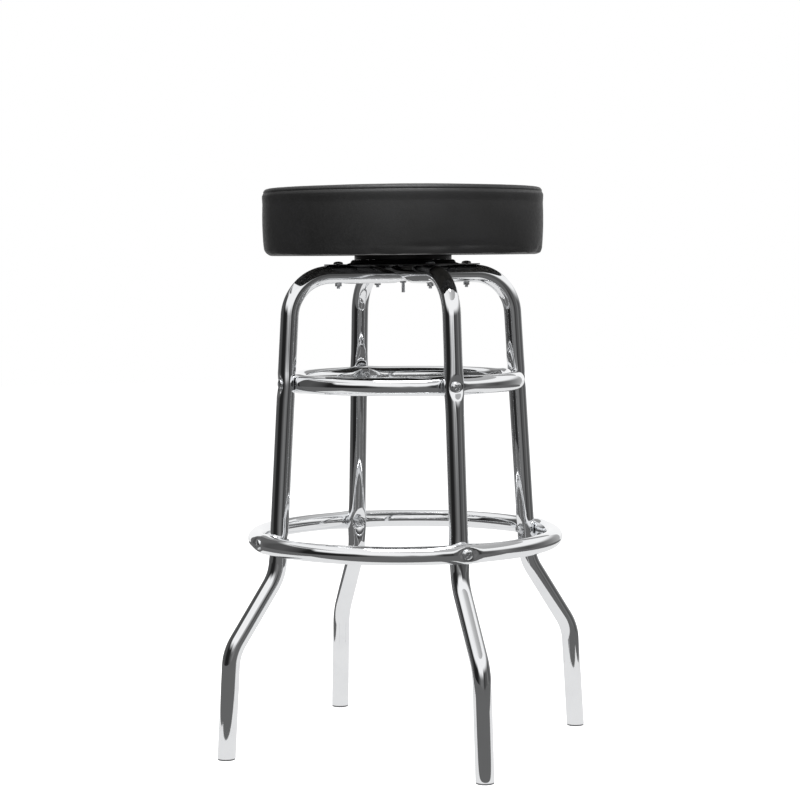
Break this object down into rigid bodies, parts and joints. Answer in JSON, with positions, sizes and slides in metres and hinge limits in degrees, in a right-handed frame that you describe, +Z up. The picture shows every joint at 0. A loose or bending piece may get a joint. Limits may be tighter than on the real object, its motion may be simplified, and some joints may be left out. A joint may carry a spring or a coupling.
{
  "type": "swivel bar stool",
  "caption": "Bar-height stool with splayed chrome tube legs, a brace ring and a foot ring, and a round padded seat that turns on a ball swivel.",
  "frame": {"origin": "on the floor, under the middle of the seat", "axes": "+Z up along the swivel axis; one leg hoop stands along X and the other along Y"},
  "size_m": [0.5642, 0.5642, 0.7912],
  "materials": {
    "chrome_tube": "polished",
    "plated_fasteners": "satin",
    "glide_plastic": "matte",
    "black_steel": "satin",
    "bearing_steel": "polished",
    "cage_plastic": "matte",
    "staple_wire": "satin",
    "plywood": "matte",
    "seat_foam": "matte",
    "black_vinyl": "satin"
  },
  "bodies": {
    "base": {"leg_hoop_under": "chrome_tube", "leg_hoop_over": "chrome_tube", "brace_ring": "chrome_tube", "foot_ring": "chrome_tube", "brace_ring_bolts": "plated_fasteners", "brace_ring_nuts": "plated_fasteners", "foot_ring_bolts": "plated_fasteners", "foot_ring_nuts": "plated_fasteners", "crossing_bolt": "plated_fasteners", "crossing_nut": "plated_fasteners", "plate_bolts": "plated_fasteners", "plate_washers": "plated_fasteners", "plate_nuts": "plated_fasteners", "floor_glide_right": "glide_plastic", "floor_glide_back": "glide_plastic", "floor_glide_left": "glide_plastic", "floor_glide_front": "glide_plastic", "lower_swivel_plate": "black_steel"},
    "bearing": {"bearing_balls": "bearing_steel", "ball_cage": "cage_plastic"},
    "seat": {"upper_swivel_plate": "black_steel", "seat_screws": "plated_fasteners", "hem_staples": "staple_wire", "seat_board": "plywood", "seat_foam": "seat_foam", "cover_top_panel": "black_vinyl", "cover_side_band": "black_vinyl"}
  },
  "joints": [
    {"name": "seat_swivel", "type": "hinge", "parent": "base", "child": "seat", "pos_m": [0, 0, 0.6945], "axis": [0, 0, 1], "continuous": true},
    {"name": "bearing_orbit", "type": "hinge", "parent": "base", "child": "bearing", "pos_m": [0, 0, 0.69], "axis": [0, 0, 1], "continuous": true}
  ],
  "couplings": [
    {"joint": "bearing_orbit", "follows": "seat_swivel", "ratio": 0.5}
  ]
}
